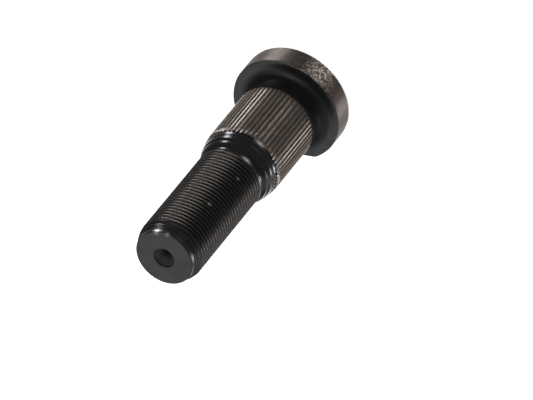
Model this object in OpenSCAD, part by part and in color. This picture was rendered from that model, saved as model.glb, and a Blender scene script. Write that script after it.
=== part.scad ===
// Wheel stud of a heavy vehicle: one turned and rolled piece of blackened steel.
// It stands on its head. The axis is Z and the origin is the centre of the head's outer face.

/* [Head] */
// Diameter of the round head
head_d = 36.8; // [33:0.1:46]
// Thickness of the head, from its outer face to the seat
head_h = 8.4; // [5:0.1:12]
// Round on the edge of the head's outer face
head_edge_r = 0.9; // [0.3:0.1:2]
// Round on the edge of the seat
seat_edge_r = 0.5; // [0.2:0.1:1.5]
// Depth of the small flat on the head's rim
flat_depth = 2.3; // [0.5:0.1:2.6]

/* [Relief under the head] */
// Diameter of the smooth relief between the seat and the ribs
relief_d = 25; // [23.5:0.1:25.2]
// Length of the relief, from the seat to the first trace of the ribs
relief_len = 5.9; // [4:0.1:12]
// Fillet between the relief and the seat
root_fillet_r = 3.2; // [1:0.1:3.5]

/* [Ribs] */
// Diameter over the ribs
rib_d = 26.4; // [26:0.1:28]
// Height of a rib above the floor between two ribs
rib_h = 0.5; // [0.2:0.05:0.6]
// Number of ribs round the shank
rib_count = 56; // [36:1:64]
// Width of the flat on top of a rib
rib_top_w = 0.3; // [0.1:0.05:0.4]
// Width of the flat floor between two ribs
rib_floor_w = 0.25; // [0.1:0.05:0.5]
// Length of the ribbed stretch, with its tapered ends
rib_len = 25.8; // [12:0.1:60]
// Length of the slim taper that leads the ribs into the hub
rib_lead_len = 2.9; // [1:0.1:5]
// Diameter over the ribs where that taper starts
rib_lead_d = 25.8; // [25.6:0.1:25.8]
// Slope of the ribs' run-out at the relief, in degrees from the axis
rib_runout_angle = 30; // [15:1:60]

/* [Neck] */
// Diameter of the neck where it meets the ribs
neck_d = 25.2; // [24:0.1:25.2]
// Diameter of the neck at its foot, above the groove
neck_foot_d = 22.2; // [22.2:0.1:23.5]
// Length of the neck
neck_len = 5.4; // [4:0.1:12]
// Fullness of the neck: 1 is a plain cone, and more makes it a barrel
neck_fullness = 2; // [1:0.1:3]
// Number of soft rings on the neck
neck_rings = 2; // [1:1:5]
// How far each ring stands out from the plain neck, as a share of its slope
neck_wave = 0.9; // [0:0.05:0.95]
// Diameter of the groove between the neck and the thread
groove_d = 21.2; // [19.5:0.1:21.8]
// Width of the groove's floor
groove_w = 1.0; // [0.2:0.1:3]

/* [Thread] */
// Outer diameter of the thread
thread_d = 22; // [22:0.1:22.4]
// Pitch of the thread
thread_pitch = 1.5; // [1:0.25:2.5]
// Length of the thread at its full diameter
thread_len = 39.9; // [20:0.1:80]
// Diameter of the thread's first turn, at the point
thread_lead_d = 20.8; // [20:0.1:21.6]
// Length of the taper on the first turns
thread_lead_len = 2.2; // [0.5:0.1:4]

/* [Point] */
// Diameter of the plain point
point_d = 19.3; // [16:0.1:20]
// Length of the plain point
point_len = 1.7; // [0.8:0.1:6]
// Round on the edge of the point
point_edge_r = 0.4; // [0.2:0.1:0.8]

/* [Centre hole] */
// Diameter of the centre hole at its mouth
centre_mouth_d = 7; // [5:0.1:9]
// Diameter of the drilled pilot below the cone
centre_pilot_d = 3.2; // [2:0.1:4]
// Full angle of the cone
centre_angle = 60; // [60:30:90]
// Depth of the pilot's straight wall
centre_pilot_len = 3; // [1:0.1:6]

/* [Hidden] */

steel_black = [0.13, 0.125, 0.125];
turn_fn = 96;
arc_steps = 6;
ring_points = 10;
drill_point_angle = 118;
// Depth of the thread and width of its crests, as shares of the pitch
depth_share = 0.6134;
crest_share = 1 / 8;
// How far a cutting or joining solid runs past the surface that it meets
over = 1;
// How far the core stays below the ribs' floor
core_gap = 0.2;
// How far the trimming solid stands off the ribs' tops where it doesn't trim them
trim_gap = 0.05;

// Heights of the shank's stations above the head's outer face
relief_end_z = head_h + relief_len;
rib_end_z = relief_end_z + rib_len;
neck_end_z = rib_end_z + neck_len;
neck_drop = (neck_foot_d - groove_d) / 2;
groove_end_z = neck_end_z + neck_drop + groove_w;
thread_drop = (thread_d - groove_d) / 2;
thread_z = groove_end_z + thread_drop;
thread_end_z = thread_z + thread_len;
point_z = thread_end_z + thread_lead_len + (thread_lead_d - point_d) / 2;
end_z = point_z + point_len;

thread_root_r = thread_d / 2 - depth_share * thread_pitch;
crest_w = crest_share * thread_pitch;
thread_turns = floor((thread_len + thread_lead_len - crest_w) / thread_pitch);

floor_r = rib_d / 2 - rib_h;
core_r = min(floor_r, relief_d / 2, neck_d / 2) - core_gap;

// Points of an arc about [r, z], from angle a0 to angle a1
function arc(r, z, radius, a0, a1) =
    [for (i = [0:arc_steps])
        let (a = a0 + (a1 - a0) * i / arc_steps)
        [r + radius * cos(a), z + radius * sin(a)]];

// Share of the neck's fall at share x of its length: a barrel's curve with soft rings
function neck_share(x) =
    pow(x, neck_fullness) - neck_wave * sin(360 * neck_rings * x) / (2 * PI * neck_rings);

// Points of the neck, from the ribs to the groove
function neck_points() =
    let (count = neck_rings * ring_points)
    [for (i = [0:count])
        [neck_d / 2 - (neck_d - neck_foot_d) / 2 * neck_share(i / count),
         rib_end_z + neck_len * i / count]];

// Radius over the thread's crests at height z: full, then falling along the taper
function crest_r(z) =
    thread_d / 2 - max(0, z - thread_end_z) * (thread_d - thread_lead_d) / 2 / thread_lead_len;

// Turns of the thread, each drawn as a ring: down one flank to the root and up the next
function thread_points() =
    [for (i = [0:thread_turns - 1], share = [0, 1 / 2, 1])
        let (z = thread_z + crest_w + i * thread_pitch + share * (thread_pitch - crest_w),
             on_root = share == 1 / 2)
        [on_root ? min(thread_root_r, crest_r(z)) : crest_r(z), z]];

// Half section of the piece, with the ribs left down to its core
function section_points() = concat(
    [[0, 0]],
    arc(head_d / 2 - head_edge_r, head_edge_r, head_edge_r, -90, 0),
    arc(head_d / 2 - seat_edge_r, head_h - seat_edge_r, seat_edge_r, 0, 90),
    arc(relief_d / 2 + root_fillet_r, head_h + root_fillet_r, root_fillet_r, 270, 180),
    [[relief_d / 2, relief_end_z + over], [core_r, relief_end_z + over], [core_r, rib_end_z - over],
     [neck_d / 2, rib_end_z - over]],
    neck_points(),
    [[groove_d / 2, neck_end_z + neck_drop], [groove_d / 2, groove_end_z], [thread_d / 2, thread_z]],
    thread_points(),
    [[thread_lead_d / 2, thread_end_z + thread_lead_len], [point_d / 2, point_z]],
    arc(point_d / 2 - point_edge_r, end_z - point_edge_r, point_edge_r, 0, 90),
    [[0, end_z]]);

module turned_body() {
    rotate_extrude($fn = turn_fn)
        polygon(section_points());
}

// Cross section through the ribs: a flat top and two sloping flanks to each. A gap lies on the X axis
module rib_outline() {
    pitch = 360 / rib_count;
    top_half = rib_top_w / rib_d * 180 / PI;
    foot_half = pitch / 2 - rib_floor_w / rib_d * 180 / PI;
    polygon([for (i = [0:rib_count - 1], side = [[-foot_half, floor_r], [-top_half, rib_d / 2],
                                                 [top_half, rib_d / 2], [foot_half, floor_r]])
        let (turn = (i + 1 / 2) * pitch + side[0])
        [side[1] * cos(turn), side[1] * sin(turn)]]);
}

// Solid that the ribs are trimmed to: a run-out at the relief and a slim lead at the neck
module rib_envelope() {
    outer_r = rib_d / 2 + trim_gap;
    runout_len = (outer_r - core_r) / tan(rib_runout_angle);
    lead_len = rib_lead_len * (2 * outer_r - rib_lead_d) / (rib_d - rib_lead_d);
    rotate_extrude($fn = turn_fn)
        polygon([[0, relief_end_z], [core_r, relief_end_z], [outer_r, relief_end_z + runout_len],
                 [outer_r, rib_end_z - lead_len], [rib_lead_d / 2, rib_end_z], [0, rib_end_z]]);
}

module ribs() {
    intersection() {
        translate([0, 0, relief_end_z - over])
            linear_extrude(rib_len + 2 * over)
                rib_outline();
        rib_envelope();
    }
}

// Small flat across the head's rim, facing +Y
module rim_flat() {
    translate([-head_d / 2, head_d / 2 - flat_depth, -over])
        cube([head_d, flat_depth + over, head_h + 2 * over]);
}

// Cone, straight pilot and drill point, sunk from the end face
module centre_hole() {
    cone_len = (centre_mouth_d - centre_pilot_d) / 2 / tan(centre_angle / 2);
    tip_len = centre_pilot_d / 2 / tan(drill_point_angle / 2);
    pilot_end_z = end_z - cone_len - centre_pilot_len;
    rise = over * tan(centre_angle / 2);
    rotate_extrude($fn = turn_fn)
        polygon([[0, pilot_end_z - tip_len], [centre_pilot_d / 2, pilot_end_z],
                 [centre_pilot_d / 2, end_z - cone_len], [centre_mouth_d / 2 + rise, end_z + over],
                 [0, end_z + over]]);
}

module wheel_bolt() {
    color(steel_black)
        difference() {
            union() {
                turned_body();
                ribs();
            }
            rim_flat();
            centre_hole();
        }
}

wheel_bolt();
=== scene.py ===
import math
import bmesh
import bpy
import numpy as np
from mathutils import Matrix, Vector


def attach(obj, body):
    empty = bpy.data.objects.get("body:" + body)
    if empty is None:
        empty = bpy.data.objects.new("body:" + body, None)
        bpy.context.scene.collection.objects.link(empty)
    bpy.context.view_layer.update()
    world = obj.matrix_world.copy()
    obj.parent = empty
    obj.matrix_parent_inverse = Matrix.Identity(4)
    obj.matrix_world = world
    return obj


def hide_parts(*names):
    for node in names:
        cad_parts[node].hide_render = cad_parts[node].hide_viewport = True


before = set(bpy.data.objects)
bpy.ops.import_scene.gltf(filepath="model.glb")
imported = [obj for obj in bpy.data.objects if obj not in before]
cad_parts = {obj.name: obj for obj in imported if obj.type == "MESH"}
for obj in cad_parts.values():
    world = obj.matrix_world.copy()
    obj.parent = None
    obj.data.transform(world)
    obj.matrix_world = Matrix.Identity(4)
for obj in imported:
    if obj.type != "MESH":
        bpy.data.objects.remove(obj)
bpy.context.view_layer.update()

MM = 0.001
STUD_NODE = "wheel_bolt"

# The stud's own sizes, in millimetres. They follow its solid, but for a third ring on the neck, a neck
# that reaches 0.2 further into the groove, and a head 0.02 slimmer so that it stays in the solid's box
HEAD_R = 18.38
HEAD_H = 8.4
HEAD_EDGE_R = 0.9
SEAT_EDGE_R = 0.5
FLAT_DEPTH = 2.28
FLAT_TURN = 90.0
# Least cosine of the turn from the flat, which leaves the rim round on the sides that face away from it
FLAT_LEAST_COSINE = 0.1
RELIEF_R = 12.5
RELIEF_LEN = 5.9
ROOT_FILLET_R = 3.2
RIB_R = 13.2
RIB_H = 0.5
RIB_COUNT = 56
RIB_TOP_W = 0.3
RIB_FLOOR_W = 0.25
RIB_LEN = 25.8
RIB_LEAD_LEN = 2.9
RIB_LEAD_R = 12.9
RIB_RUNOUT_ANGLE = 30.0
NECK_R = 12.6
NECK_FOOT_R = 11.1
NECK_LEN = 5.6
NECK_FULLNESS = 2
NECK_RINGS = 3
NECK_WAVE = 0.45
NECK_WAVE_GROWTH = 0.9
NECK_RING_PLACE = 0.463
GROOVE_R = 10.6
GROOVE_W = 0.8
THREAD_R = 11.0
THREAD_LEN = 39.9
THREAD_LEAD_R = 10.4
THREAD_LEAD_LEN = 2.2
THREAD_PITCH = 1.5
POINT_R = 9.65
POINT_LEN = 1.7
POINT_EDGE_R = 0.4
CENTRE_MOUTH_R = 3.5
CENTRE_PILOT_R = 1.6
CENTRE_HALF_ANGLE = 30.0
CENTRE_PILOT_LEN = 3.0
DRILL_HALF_ANGLE = 59.0

# Heights of the shank's stations above the head's outer face
RELIEF_END_Z = HEAD_H + RELIEF_LEN
RIB_END_Z = RELIEF_END_Z + RIB_LEN
NECK_END_Z = RIB_END_Z + NECK_LEN
GROOVE_Z = NECK_END_Z + NECK_FOOT_R - GROOVE_R
GROOVE_END_Z = GROOVE_Z + GROOVE_W
THREAD_Z = GROOVE_END_Z + THREAD_R - GROOVE_R
THREAD_END_Z = THREAD_Z + THREAD_LEN
THREAD_LEAD_Z = THREAD_END_Z + THREAD_LEAD_LEN
POINT_Z = THREAD_LEAD_Z + THREAD_LEAD_R - POINT_R
END_Z = POINT_Z + POINT_LEN

# Radii at which the ribs' run-out has a ring, and how far its cone starts below the relief
RUNOUT_RADII = (RELIEF_R, RIB_R - RIB_H, 12.85, 13.0, RIB_R)
RUNOUT_START = 0.2
# Rows along the ribs, along their slim lead, and to each ring of the neck
RIB_ROWS = 14
LEAD_ROWS = 4
NECK_RING_ROWS = 10

# One pitch of the thread, from crest to crest: share of the pitch, and depth below the crest
THREAD_STATIONS = np.array([0.0, 0.07, 0.4, 0.5, 0.6, 0.93])
THREAD_DEPTHS = np.array([0.0, 0.03, 0.86, 0.92, 0.86, 0.03])
# Turns over which the thread fades in at the groove and out at the point, and where it is gone
THREAD_FADE_TURNS = 1.2
POINT_FADE_TURNS = 0.6
POINT_FADE_GAP = 0.2
CHAMFER_ROWS = 7

# Points closer than this, in metres, are one, and edges sharper than this, in degrees, stay sharp
MERGE_GAP = 2e-7
SHARP_ANGLE = 35

# Dents of the forging on the rim, and wear of the rib tops: depth, size and seed. The wear is long: its
# heights count for less
DENT_DEPTH, DENT_SIZE, DENT_SEED = 0.07, 2.6, 3
WEAR_DEPTH, WEAR_SIZE, WEAR_SEED = 0.05, 1.6, 5
WEAR_STRETCH = (1, 1, 0.35)
NOISE_WAVES = 24
NOISE_SPREAD = 5

# Limits of the stretches that the finish tells apart. Heights this close to a station are on it
ON_STATION = 0.01
# How far inside the rim's edge its skin starts, over which width it grows, and its gap to the seat
RIM_BAND, RIM_FADE, RIM_GAP = 1.2, 0.6, 0.1
# How far above the relief the ribs start, and the length over which their brown ends at the neck
RIB_START, RIB_BROWN_FADE = 0.4, 0.8
# How far outside and inside the centre hole's mouth its surroundings start, and the hole's greatest depth
MOUTH_OUTSIDE, MOUTH_INSIDE, HOLE_DEPTH = 1, 0.1, 10
# Height above the seat where the corner's painted shade and added roughness end, the length over which they
# fade, and its width
SHADE_TOP, SHADE_FADE, SHADE_WIDTH = 4, 2, 2.6
# How far inside the point's edge the painted glints start, and the width over which they grow
SPOT_BAND, SPOT_FADE = 0.8, 0.4

# Painted highlight on the rim, a bright patch towards the camera's side: its turn from the camera's side and
# its spread, in degrees
SHEEN_TURN = 4.0
SHEEN_SPREAD = 13.0
# Painted glints, near-white patches where highlights fall, by turn from the camera's side, spread in
# degrees,
# height, width and strength: on the ribs' ends, on the thread's first crest, on two later crests and round
# the point
PAINTED_GLINTS = [
    (3.0, 7.0, RIB_END_Z - 0.1, 0.4, 1.0),
    (3.0, 7.0, THREAD_Z + 0.1, 0.5, 1.0),
    (2.0, 3.0, THREAD_Z + 24.96, 0.25, 0.45),
    (12.0, 2.0, THREAD_Z + 8.42, 0.25, 0.6),
    (-47.0, 6.0, THREAD_LEAD_Z - 0.2, 0.3, 0.35),
    (-46.0, 4.5, END_Z - 0.35, 0.3, 0.7),
    (-23.0, 3.5, END_Z - 0.3, 0.25, 0.35)]

# Colours of the finish
OIL_DARK = (0.026, 0.026, 0.028, 1)
OIL_LIGHT = (0.036, 0.035, 0.037, 1)
# Painted shade: near-black colour for the corner under the head
PAINTED_CORNER_SHADE = (0.014, 0.013, 0.013, 1)
THREAD_TOPS = (0.045, 0.040, 0.036, 1)
HOLE_GREY = (0.10, 0.095, 0.092, 1)
RIB_BROWN = (0.125, 0.101, 0.086, 1)
RIB_WORN = (0.21, 0.183, 0.15, 1)
# Painted highlight: near-white colour of the painted glints
PAINTED_GLINT_COLOUR = (0.9, 0.88, 0.85, 1)
RIM_DARK = (0.042, 0.032, 0.028, 1)
RIM_LIGHT = (0.085, 0.064, 0.053, 1)
# Painted highlight: dark and light of the speckled sheen patch on the rim
SHEEN_DARK = (0.10, 0.077, 0.064, 1)
SHEEN_LIGHT = (0.92, 0.80, 0.69, 1)
# Sizes of the finish's patterns, in metres. Streaks are long: their heights count for less
STREAK_SIZE, PATCH_SIZE, GRAIN_SIZE, SPECKLE_SIZE = 0.0007, 0.006, 0.0006, 0.0008
STREAK_STRETCH = (1, 1, 0.3)
# Share of metal, roughness from the grain's lows to its highs, and what each surface adds to it
METAL_SHARE = 0.8
ROUGH_LOW, ROUGH_HIGH = 0.26, 0.36
ROUGH_CHANGES = [("forged", 0.14), ("shaded", 0.12), ("ribbed", 0.08), ("bored", 0.3), ("turned", -0.12)]
# Relief of the skin: shares of the forging's speckle and of the grain, strength, and height in metres
SPECKLE_RELIEF, GRAIN_RELIEF = 0.5, 0.10
RELIEF_STRENGTH, RELIEF_HEIGHT = 0.6, 0.00012

# The photograph's view of the stud
FRAME_W, FRAME_H = 533, 400
POINT_PIXEL = (163.94, 258.03)
PIXELS_PER_MM = 3.291
AXIS_SLOPE = 50.97
VIEW_TILT = 44.73
CAMERA_SIDE = 232.6
CAMERA_DISTANCE = 2.0
CAMERA_NEAREST, CAMERA_FURTHEST = 0.01, 20.0
SENSOR_MM = 36.0

# The floor's half width in metres, its gap under the stud in millimetres, its grey and its glow
FLOOR_HALF = 3.0
FLOOR_GAP = 0.1
FLOOR_GREY = 0.8
FLOOR_ROUGHNESS = 0.9
FLOOR_GLOW = 0.85

# The studio's light: the room's own, and round boxes by direction (near, across, up), angle of the full
# part, angle of the edge and strength
ROOM_LIGHT = 0.24
SOFT_BOXES = [
    ((-0.704, 0.0, -0.710), 14.0, 40.0, 1.4),
    ((-0.707, 0.0, 0.707), 25.0, 50.0, 1.5),
    ((0.14, -0.36, 0.92), 8.0, 19.0, 6.0),
    ((0.70, 0.08, -0.707), 6.0, 16.0, 0.5),
    ((-0.25, 0.80, 0.50), 14.0, 32.0, 1.15),
    ((-0.03, 0.96, -0.22), 8.0, 26.0, 1.9),
    ((-0.55, 0.45, -0.70), 10.0, 35.0, 0.6)]
# Strip lights by side, lowest and highest height, and strength
SOFT_STRIPS = [(-1, -0.75, -0.35, 15.0), (1, -0.75, -0.6, 12.0)]
# Turn of the stud that both strips are mirrored at, their half width, and the width of their soft edges
STRIP_TURN = 45.0
STRIP_HALF = 0.055
STRIP_SOFT = 0.035
STRIP_END_SOFT = 0.1
# How far across a strip starts, and where it is full
STRIP_SIDE_FADE = (0.35, 0.6)


def view_axes():
    """Unit vectors of the view: the camera's side of the stud, the side that is right of the axis in the
    photograph, up the stud, towards the viewer, and right and up in the picture."""
    turn, tilt, slope = (math.radians(a) for a in (CAMERA_SIDE, VIEW_TILT, AXIS_SLOPE))
    near = Vector((math.cos(turn), math.sin(turn), 0))
    up = Vector((0, 0, 1))
    across = near.cross(up)
    viewer = math.sin(tilt) * near + math.cos(tilt) * up
    to_head = math.cos(tilt) * near - math.sin(tilt) * up
    right = math.cos(slope) * to_head + math.sin(slope) * across
    top = math.sin(slope) * to_head - math.cos(slope) * across
    return near, across, up, viewer, right, top


NEAR, ACROSS, UP, VIEWER, RIGHT, TOP = view_axes()


def make_camera():
    """A long lens on the line of sight. The stud's end face falls on its pixel of the photograph."""
    data = bpy.data.cameras.new("camera")
    data.sensor_width = SENSOR_MM
    data.lens = PIXELS_PER_MM / MM * CAMERA_DISTANCE / FRAME_W * SENSOR_MM
    data.clip_start = CAMERA_NEAREST
    data.clip_end = CAMERA_FURTHEST
    camera = bpy.data.objects.new("camera", data)
    bpy.context.scene.collection.objects.link(camera)
    off_right = (POINT_PIXEL[0] - FRAME_W / 2) / PIXELS_PER_MM * MM
    off_top = (FRAME_H / 2 - POINT_PIXEL[1]) / PIXELS_PER_MM * MM
    aim = Vector((0, 0, END_Z * MM)) - off_right * RIGHT - off_top * TOP
    turned = Matrix((RIGHT, TOP, VIEWER)).transposed().to_4x4()
    camera.matrix_world = Matrix.Translation(aim + CAMERA_DISTANCE * VIEWER) @ turned
    bpy.context.scene.camera = camera


# Shape of the stud

def arc(r, z, radius, start, end, steps=6):
    """Points of an arc about (r, z): centre plus radius times (cosine, sine) of an evenly stepped angle."""
    angle = np.radians(np.linspace(start, end, steps + 1))
    return np.stack([r + radius * np.cos(angle), z + radius * np.sin(angle)], axis=1)


def line(r0, z0, r1, z1, steps):
    """Evenly stepped points from (r0, z0) to (r1, z1)."""
    share = np.linspace(0, 1, steps + 1)
    return np.stack([r0 + (r1 - r0) * share, z0 + (z1 - z0) * share], axis=1)


def rib_columns():
    """Angles round the axis, five to a rib: the floor's middle, a foot, both edges of the top, a foot."""
    pitch = 360 / RIB_COUNT
    top_half = np.degrees(RIB_TOP_W / RIB_R / 2)
    foot_half = pitch / 2 - np.degrees(RIB_FLOOR_W / RIB_R / 2)
    offsets = pitch / 2 + np.array([-pitch / 2, -foot_half, -top_half, top_half, foot_half])
    return np.radians((np.arange(RIB_COUNT)[:, None] * pitch + offsets).ravel())


def rib_heights():
    """Height of the rib's outline above its floor at each column: nothing at the feet, full at the top."""
    return np.tile([0, 0, 1, 1, 0], RIB_COUNT) * RIB_H


COLUMNS = rib_columns()


def ring_rows(profile):
    """A half section carried round the axis: each of its points becomes a level ring of equal radius."""
    profile = np.asarray(profile, float)
    flat = np.ones(len(COLUMNS))
    return profile[:, :1] * flat, profile[:, 1:] * flat


def head_rows():
    """Half section of the head from its centre to the relief, cut by the chord of the rim's flat: the
    radius is at most the chord's distance over the cosine of the turn from the flat."""
    profile = np.vstack([
        line(0, 0, HEAD_R - HEAD_EDGE_R, 0, 4),
        arc(HEAD_R - HEAD_EDGE_R, HEAD_EDGE_R, HEAD_EDGE_R, -90, 0)[1:],
        line(HEAD_R, HEAD_EDGE_R, HEAD_R, HEAD_H - SEAT_EDGE_R, 8)[1:],
        arc(HEAD_R - SEAT_EDGE_R, HEAD_H - SEAT_EDGE_R, SEAT_EDGE_R, 0, 90, 4)[1:],
        line(HEAD_R - SEAT_EDGE_R, HEAD_H, RELIEF_R + ROOT_FILLET_R, HEAD_H, 2)[1:],
        arc(RELIEF_R + ROOT_FILLET_R, HEAD_H + ROOT_FILLET_R, ROOT_FILLET_R, 270, 180)[1:]])
    radius, height = ring_rows(profile)
    facing = np.maximum(np.cos(COLUMNS - np.radians(FLAT_TURN)), FLAT_LEAST_COSINE)
    return np.minimum(radius, (HEAD_R - FLAT_DEPTH) / facing), height


def rib_rows():
    """Rings from the relief to the neck. The radius is the rib's outline, held under the run-out's cone at
    the relief and under the slim lead's cone at the neck, and never under the relief."""
    slope = np.tan(np.radians(RIB_RUNOUT_ANGLE))
    core_r = RELIEF_R - RUNOUT_START
    runout = [RELIEF_END_Z + (r - core_r) / slope for r in RUNOUT_RADII]
    lead_z = RIB_END_Z - RIB_LEAD_LEN
    heights = np.concatenate([runout, np.linspace(runout[-1], lead_z, RIB_ROWS)[1:],
                              np.linspace(lead_z, RIB_END_Z, LEAD_ROWS)[1:]])
    cone = core_r + (heights - RELIEF_END_Z) * slope
    lead = RIB_R - (heights - lead_z) / RIB_LEAD_LEN * (RIB_R - RIB_LEAD_R)
    limit = np.maximum(np.minimum(cone, lead), RELIEF_R)[:, None]
    radius = np.minimum(RIB_R - RIB_H + rib_heights(), limit)
    return radius, heights[:, None] * np.ones(len(COLUMNS))


def neck_rows():
    """Rings of the neck and the groove. The neck is a barrel, whose radius falls with a power of its length,
    less a sine wave that grows towards the foot and makes soft rings on it."""
    share = np.linspace(0, 1, NECK_RINGS * NECK_RING_ROWS + 1)
    turn = 2 * np.pi * NECK_RINGS
    wave = (NECK_WAVE + NECK_WAVE_GROWTH * share) * np.sin(turn * (share - NECK_RING_PLACE))
    fall = share ** NECK_FULLNESS - (wave - wave[0]) / turn
    fall = fall / fall[-1]
    neck = np.stack([NECK_R - (NECK_R - NECK_FOOT_R) * fall, RIB_END_Z + NECK_LEN * share], axis=1)
    groove = [[GROOVE_R, GROOVE_Z], [GROOVE_R, GROOVE_END_Z], [THREAD_R, THREAD_Z]]
    return ring_rows(np.vstack([neck, groove]))


def thread_radius(angle, height):
    """Radius of the threaded stretch: the crest less the depth at this share of the pitch, which fades in
    over the first turns. Past the full thread the crest follows the taper and the chamfer, and the depth
    fades out and never goes below the point."""
    share = ((height - THREAD_Z) / THREAD_PITCH - angle / (2 * np.pi)) % 1
    depth = np.interp(share, np.append(THREAD_STATIONS, 1), np.append(THREAD_DEPTHS, 0))
    fade = np.clip((height - THREAD_Z) / (THREAD_FADE_TURNS * THREAD_PITCH), 0, 1)
    limit = np.interp(height, [THREAD_END_Z, THREAD_LEAD_Z, POINT_Z], [THREAD_R, THREAD_LEAD_R, POINT_R])
    end_fade = np.clip((POINT_Z - POINT_FADE_GAP - height) / (POINT_FADE_TURNS * THREAD_PITCH), 0, 1)
    rolled = np.maximum(limit - depth * fade * end_fade, POINT_R)
    return np.where(height > THREAD_END_Z, rolled, THREAD_R - depth * fade)


def thread_rows():
    """Rows that climb one pitch a turn, so that each follows the helix, held level at both ends."""
    turns = int(np.ceil((THREAD_LEAD_Z - THREAD_Z) / THREAD_PITCH)) + 2
    stations = (np.arange(turns)[:, None] + THREAD_STATIONS).ravel() - 1
    climb = (stations[:, None] + COLUMNS / (2 * np.pi)) * THREAD_PITCH
    height = np.clip(THREAD_Z + climb, THREAD_Z, THREAD_LEAD_Z)
    return thread_radius(COLUMNS, height), height


def chamfer_rows():
    """Level rings over the chamfer between the thread's first turn and the plain point."""
    height = np.linspace(THREAD_LEAD_Z, POINT_Z, CHAMFER_ROWS)[:, None] * np.ones(len(COLUMNS))
    return thread_radius(COLUMNS, height), height


def point_rows():
    """Rings of the plain point, its end face and the centre hole: cone, straight pilot and drill point."""
    cone_len = (CENTRE_MOUTH_R - CENTRE_PILOT_R) / np.tan(np.radians(CENTRE_HALF_ANGLE))
    pilot_z = END_Z - cone_len - CENTRE_PILOT_LEN
    tip_z = pilot_z - CENTRE_PILOT_R / np.tan(np.radians(DRILL_HALF_ANGLE))
    return ring_rows(np.vstack([
        line(POINT_R, POINT_Z, POINT_R, END_Z - POINT_EDGE_R, 2),
        arc(POINT_R - POINT_EDGE_R, END_Z - POINT_EDGE_R, POINT_EDGE_R, 0, 90)[1:],
        line(POINT_R - POINT_EDGE_R, END_Z, CENTRE_MOUTH_R, END_Z, 5)[1:],
        line(CENTRE_MOUTH_R, END_Z, CENTRE_PILOT_R, END_Z - cone_len, 4)[1:],
        line(CENTRE_PILOT_R, END_Z - cone_len, CENTRE_PILOT_R, pilot_z, 3)[1:],
        [[0, tip_z]]]))


def grid_faces(rows, first, lift=0):
    """Quads of a grid of rings. The last column meets the first one lift rows higher up."""
    count = len(COLUMNS)
    row, column = np.meshgrid(np.arange(rows - 1), np.arange(count), indexing="ij")
    ahead = row + np.where(column == count - 1, lift, 0)
    beside = (column + 1) % count
    corners = np.stack([row * count + column, ahead * count + beside,
                        (ahead + 1) * count + beside, (row + 1) * count + column], axis=-1)
    return first + corners[ahead + 1 < rows]


def stud_mesh():
    """All stretches of the stud in one closed mesh: radius and height rows turned into points, and
    neighbouring stretches joined where their rings meet."""
    stretches = [(head_rows(), 0), (rib_rows(), 0), (neck_rows(), 0),
                 (thread_rows(), len(THREAD_STATIONS)), (chamfer_rows(), 0), (point_rows(), 0)]
    points, faces, first, before = [], [], 0, None
    for (radius, height), lift in stretches:
        if before is not None and lift == 0:
            radius = np.vstack([before[0], radius])
            height = np.vstack([before[1], height])
        before = radius[-1:], height[-1:]
        xyz = np.stack([radius * np.cos(COLUMNS), radius * np.sin(COLUMNS), height], axis=-1)
        points.append(xyz.reshape(-1, 3))
        faces.append(grid_faces(len(radius), first, lift))
        first += radius.size
    mesh = bpy.data.meshes.new("wheel_stud")
    mesh.from_pydata((np.vstack(points) * MM).tolist(), [], np.vstack(faces).tolist())
    shell = bmesh.new()
    shell.from_mesh(mesh)
    bmesh.ops.remove_doubles(shell, verts=shell.verts, dist=MERGE_GAP)
    shell.to_mesh(mesh)
    shell.free()
    return mesh


def smooth_noise(points, size, seed):
    """Even noise between 0 and 1, with lumps about size apart: a half, and a share of a sum of cosines
    along seeded random directions."""
    draw = np.random.default_rng(seed)
    waves = draw.normal(size=(NOISE_WAVES, 3)) / size * 2
    shift = draw.uniform(0, 2 * np.pi, NOISE_WAVES)
    total = np.cos(points @ waves.T + shift).sum(axis=1) / np.sqrt(NOISE_WAVES / 2)
    return np.clip(0.5 + total / NOISE_SPREAD, 0, 1)


def surface_values(radius, height, turn):
    """What the finish reads at each point, as shares from 0 to 1 by name: the forged rim, the tops of the
    ribs and of the thread, and the ribbed, turned and bored stretches. Shaded is the corner under the head,
    where shade is painted, fading evenly up the relief. The rim's sheen and the glints are bells about the
    rim's painted highlight patch and about each painted glint: e to the minus square of the distance over
    the spread."""
    rim = np.clip((radius - HEAD_R + RIM_BAND) / RIM_FADE, 0, 1) * (height < HEAD_H - RIM_GAP)
    ribbed = (height > RELIEF_END_Z + RIB_START) & (height < RIB_END_Z - ON_STATION)
    threaded = (height > THREAD_Z) & (height < POINT_Z) & (radius > CENTRE_MOUTH_R + MOUTH_OUTSIDE)
    neck = (height > RIB_END_Z - ON_STATION) & (height < THREAD_Z + ON_STATION)
    corner = (radius < RELIEF_R + SHADE_WIDTH) & (height > HEAD_H - ON_STATION)
    outer = np.clip((radius - POINT_R + SPOT_BAND) / SPOT_FADE, 0, 1)
    # Bells of the painted glints
    spots = [strength * np.exp(-((turn - spot_turn) / spread) ** 2 - ((height - z) / width) ** 2)
             for spot_turn, spread, z, width, strength in PAINTED_GLINTS]
    return {
        "forged": rim,
        "rib_top": np.clip((radius - RIB_R + RIB_H) / RIB_H, 0, 1) * ribbed,
        "thread_top": np.clip(1 - (THREAD_R - radius) / THREAD_DEPTHS.max(), 0, 1) * threaded,
        "ribbed": ribbed * np.clip((RIB_END_Z - height) / RIB_BROWN_FADE, 0, 1),
        "turned": neck * 1.0,
        "bored": ((radius < CENTRE_MOUTH_R - MOUTH_INSIDE) & (height > END_Z - HOLE_DEPTH)) * 1.0,
        "shaded": np.clip((HEAD_H + SHADE_TOP - height) / SHADE_FADE, 0, 1) * corner,
        # Painted highlight patch on the rim, about the camera's side
        "painted_rim_sheen": rim * np.exp(-((turn - SHEEN_TURN) / SHEEN_SPREAD) ** 2),
        # Painted glints, kept off the end face
        "painted_glint": sum(spots) * outer}


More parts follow.
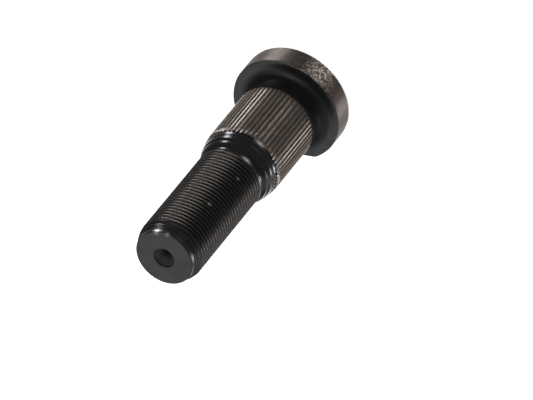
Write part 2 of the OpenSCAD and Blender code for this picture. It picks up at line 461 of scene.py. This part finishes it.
def make_stud():
    """The whole stud, with the values for its finish. Forging waves press the rim in, and wear the tops of
    the ribs: each point's radius is less by depth times noise times its share of rim or rib top."""
    mesh = stud_mesh()
    points = np.empty(len(mesh.vertices) * 3)
    mesh.vertices.foreach_get("co", points)
    points = points.reshape(-1, 3) / MM
    radius = np.hypot(points[:, 0], points[:, 1])
    turn = CAMERA_SIDE - np.degrees(np.arctan2(points[:, 1], points[:, 0]))
    values = surface_values(radius, points[:, 2], (turn + 180) % 360 - 180)
    dent = DENT_DEPTH * smooth_noise(points, DENT_SIZE, DENT_SEED) * values["forged"]
    wear = WEAR_DEPTH * smooth_noise(points * WEAR_STRETCH, WEAR_SIZE, WEAR_SEED) * values["rib_top"]
    points[:, :2] *= (1 - (dent + wear) / np.maximum(radius, 1))[:, None]
    mesh.vertices.foreach_set("co", (points * MM).ravel())
    for name, value in values.items():
        layer = mesh.attributes.new(name, "FLOAT", "POINT")
        layer.data.foreach_set("value", value.astype(np.float32))
    mesh.shade_smooth()
    mesh.set_sharp_from_angle(angle=np.radians(SHARP_ANGLE))
    mesh.update()
    return mesh


# Finish of the steel

class Nodes:
    """A node tree, with short calls for its nodes."""

    def __init__(self, tree):
        self.tree = tree

    def add(self, kind, settings=(), **inputs):
        """A node with its settings, and its inputs set to values or linked to other nodes' outputs."""
        made = self.tree.nodes.new(kind)
        for name, value in dict(settings).items():
            setattr(made, name, value)
        for name, value in inputs.items():
            self.put(made, name.replace("_", " "), value)
        return made

    def put(self, node, name, value):
        """One input by name, or by i and its number: linked if the value is a socket, set if it isn't."""
        socket = node.inputs[int(name[1:])] if name[0] == "i" and name[1:].isdigit() else node.inputs[name]
        if isinstance(value, bpy.types.NodeSocket):
            self.tree.links.new(value, socket)
        else:
            socket.default_value = value

    def maths(self, how, a, b=0.0):
        """A Math node on one or two numbers."""
        return self.add("ShaderNodeMath", {"operation": how}, i0=a, i1=b).outputs[0]

    def plus(self, a, b):
        """Two numbers added up."""
        return self.maths("ADD", a, b)

    def times(self, a, b):
        """Two numbers multiplied."""
        return self.maths("MULTIPLY", a, b)

    def dot(self, where, direction):
        """How far a vector goes along a direction."""
        return self.add("ShaderNodeVectorMath", {"operation": "DOT_PRODUCT"}, i0=where,
                        i1=tuple(direction)).outputs["Value"]

    def ramp(self, value, low, high, to_low=0.0, to_high=1.0):
        """A number carried from one range to another, with its ends held."""
        return self.add("ShaderNodeMapRange", Value=value, From_Min=low, From_Max=high,
                        To_Min=to_low, To_Max=to_high).outputs[0]

    def mix(self, share, a, b):
        """A colour between two colours."""
        made = self.add("ShaderNodeMix", {"data_type": "RGBA"})
        self.put(made, "i0", share)
        self.put(made, "i6", a)
        self.put(made, "i7", b)
        return made.outputs[2]

    def noise(self, where, size, detail=3.0, roughness=0.55):
        """Noise whose lumps are about size metres apart."""
        return self.add("ShaderNodeTexNoise", Vector=where, Scale=1 / size, Detail=detail,
                        Roughness=roughness).outputs[0]

    def value(self, name):
        """A number that the mesh carries at each point."""
        return self.add("ShaderNodeAttribute", {"attribute_name": name}).outputs["Fac"]


def new_material(name):
    """A material with its node tree and its shader."""
    material = bpy.data.materials.new(name)
    material.use_nodes = True
    return material, Nodes(material.node_tree), material.node_tree.nodes["Principled BSDF"]


def stud_finish():
    """Oiled black steel: near black in the thread and darker still in the corner under the head by painted
    shade, glossy on the neck, grey in the centre hole, brown-grey with worn tops on the ribs, near-white at
    the painted glints, and a grainy brown forging skin on the head's rim with a painted highlight patch on
    it."""
    material, steel, shader = new_material("oiled_black_steel")
    where = steel.add("ShaderNodeTexCoord").outputs["Object"]
    forged = steel.value("forged")
    lengthwise = steel.add("ShaderNodeMapping", Vector=where, Scale=STREAK_STRETCH).outputs[0]
    streaks = steel.noise(lengthwise, STREAK_SIZE)
    patches = steel.noise(where, PATCH_SIZE)
    grain = steel.noise(where, GRAIN_SIZE, 4.0, 0.7)
    speckle = steel.noise(where, SPECKLE_SIZE, 5.0, 0.7)

    colour = steel.mix(steel.ramp(patches, 0.35, 0.65), OIL_DARK, OIL_LIGHT)
    colour = steel.mix(steel.ramp(steel.value("thread_top"), 0.0, 1.0), colour, THREAD_TOPS)
    colour = steel.mix(steel.value("bored"), colour, HOLE_GREY)
    colour = steel.mix(steel.value("ribbed"), colour, RIB_BROWN)
    worn = steel.times(steel.ramp(steel.value("rib_top"), 0.55, 1.0), steel.ramp(streaks, 0.3, 0.7))
    colour = steel.mix(worn, colour, RIB_WORN)
    # Painted shade: the corner under the head is darkened
    colour = steel.mix(steel.value("shaded"), colour, PAINTED_CORNER_SHADE)
    # Painted highlights: near-white steel at the glints
    colour = steel.mix(steel.value("painted_glint"), colour, PAINTED_GLINT_COLOUR)
    dull = steel.mix(steel.ramp(speckle, 0.35, 0.7), RIM_DARK, RIM_LIGHT)
    # Painted highlight: the bright speckled sheen patch, mixed into the rim's forging skin
    bright = steel.mix(steel.ramp(speckle, 0.44, 0.60), SHEEN_DARK, SHEEN_LIGHT)
    skin_and_sheen = steel.mix(steel.value("painted_rim_sheen"), dull, bright)
    steel.put(shader, "Base Color", steel.mix(forged, colour, skin_and_sheen))
    steel.put(shader, "Metallic", METAL_SHARE)

    rough = steel.ramp(grain, 0.3, 0.7, ROUGH_LOW, ROUGH_HIGH)
    for name, change in ROUGH_CHANGES:
        rough = steel.plus(rough, steel.times(steel.value(name), change))
    steel.put(shader, "Roughness", rough)
    height = steel.plus(steel.times(steel.times(speckle, forged), SPECKLE_RELIEF),
                        steel.times(grain, GRAIN_RELIEF))
    bump = steel.add("ShaderNodeBump", Strength=RELIEF_STRENGTH, Distance=RELIEF_HEIGHT, Height=height)
    steel.put(shader, "Normal", bump.outputs[0])
    return material


# Studio

def make_floor():
    """A wide pale floor, which also glows a little so that it stays even. The steel doesn't mirror it."""
    mesh = bpy.data.meshes.new("floor")
    square = [(-1, -1), (1, -1), (1, 1), (-1, 1)]
    corners = [(x * FLOOR_HALF, y * FLOOR_HALF, -FLOOR_GAP * MM) for x, y in square]
    mesh.from_pydata(corners, [], [(0, 1, 2, 3)])
    floor = bpy.data.objects.new("floor", mesh)
    bpy.context.scene.collection.objects.link(floor)
    material, pale, shader = new_material("pale_floor")
    pale.put(shader, "Base Color", (FLOOR_GREY, FLOOR_GREY, FLOOR_GREY, 1))
    pale.put(shader, "Roughness", FLOOR_ROUGHNESS)
    pale.put(shader, "Emission Color", (1, 1, 1, 1))
    pale.put(shader, "Emission Strength", FLOOR_GLOW)
    mesh.materials.append(material)
    floor.visible_glossy = False
    floor.visible_shadow = False


def view_direction(near, across, up):
    """A unit vector given along the view's axes."""
    return (near * NEAR + across * ACROSS + up * UP).normalized()


def soft_box(sky, where, direction, full, edge, strength):
    """A round soft light in the sky: full within one angle of its direction, and gone at the other."""
    share = sky.dot(where, view_direction(*direction))
    return sky.ramp(share, math.cos(math.radians(edge)), math.cos(math.radians(full)), 0.0, strength)


def soft_strip(sky, where, side, low, high, strength):
    """A tall strip light on one side. Its directions all mirror the view at the same turn of the stud, so
    that it draws a straight line along the shank."""
    turn = math.radians(STRIP_TURN)
    level = view_direction(math.sin(turn), -side * math.cos(turn), 0)
    centre = -level.dot(VIEWER)
    off = sky.maths("ABSOLUTE", sky.maths("SUBTRACT", sky.dot(where, level), centre))
    height = sky.dot(where, UP)
    share = sky.ramp(off, STRIP_HALF + STRIP_SOFT, STRIP_HALF)
    for part in (sky.ramp(sky.dot(where, side * ACROSS), *STRIP_SIDE_FADE),
                 sky.ramp(height, low - STRIP_END_SOFT, low),
                 sky.ramp(height, high + STRIP_END_SOFT, high)):
        share = sky.times(share, part)
    return sky.times(share, strength)


def make_world():
    """A dim grey room with the studio's soft lights in it: each is a part of the sky that the steel
    reflects."""
    world = bpy.data.worlds.new("studio")
    bpy.context.scene.world = world
    world.use_nodes = True
    world.node_tree.nodes.clear()
    sky = Nodes(world.node_tree)
    where = sky.add("ShaderNodeTexCoord").outputs["Generated"]
    total = ROOM_LIGHT
    for box in SOFT_BOXES:
        total = sky.plus(total, soft_box(sky, where, *box))
    for strip in SOFT_STRIPS:
        total = sky.plus(total, soft_strip(sky, where, *strip))
    light = sky.add("ShaderNodeBackground", Strength=total)
    sky.add("ShaderNodeOutputWorld", i0=light.outputs[0])


make_camera()
stud = bpy.data.objects.new("wheel_stud", make_stud())
bpy.context.scene.collection.objects.link(stud)
stud.data.materials.append(stud_finish())
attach(stud, "root")
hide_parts(STUD_NODE)
make_floor()
make_world()
bpy.context.scene.view_settings.view_transform = "Standard"
